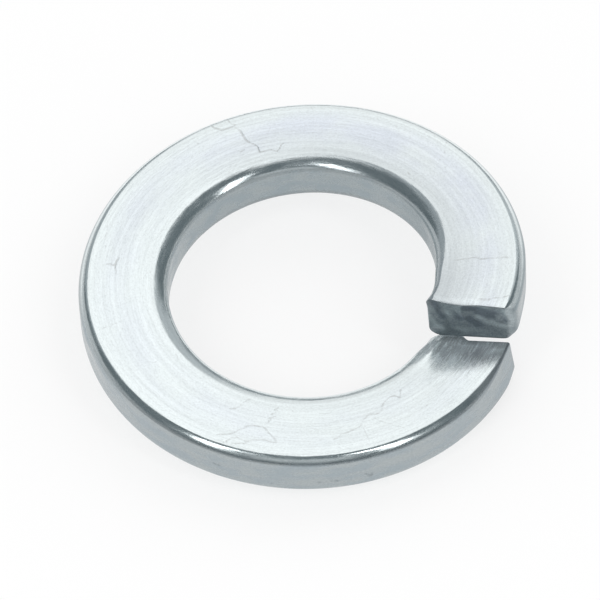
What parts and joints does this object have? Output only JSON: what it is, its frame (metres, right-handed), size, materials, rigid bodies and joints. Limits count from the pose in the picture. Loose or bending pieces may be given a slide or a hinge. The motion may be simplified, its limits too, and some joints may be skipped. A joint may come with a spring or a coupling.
{
  "type": "spring lock washer",
  "caption": "Helical spring lock washer: one left-hand coil of flat steel wire, sheared through at a slant, its two ends set at different heights.",
  "frame": {"origin": "on the bore's axis, level with the underside of the low end", "axes": "+Z along the bore's axis, from the low end to the raised end; the cut lies 24.25 degrees clockwise of +X as seen from above, so -Y is the side from which the picture was taken"},
  "size_m": [0.0203, 0.0202, 0.005],
  "materials": {
    "zinc_plated_steel": "bright zinc plate with faint drawing lines"
  },
  "bodies": {
    "root": {"lock_washer": "zinc_plated_steel"}
  },
  "joints": []
}
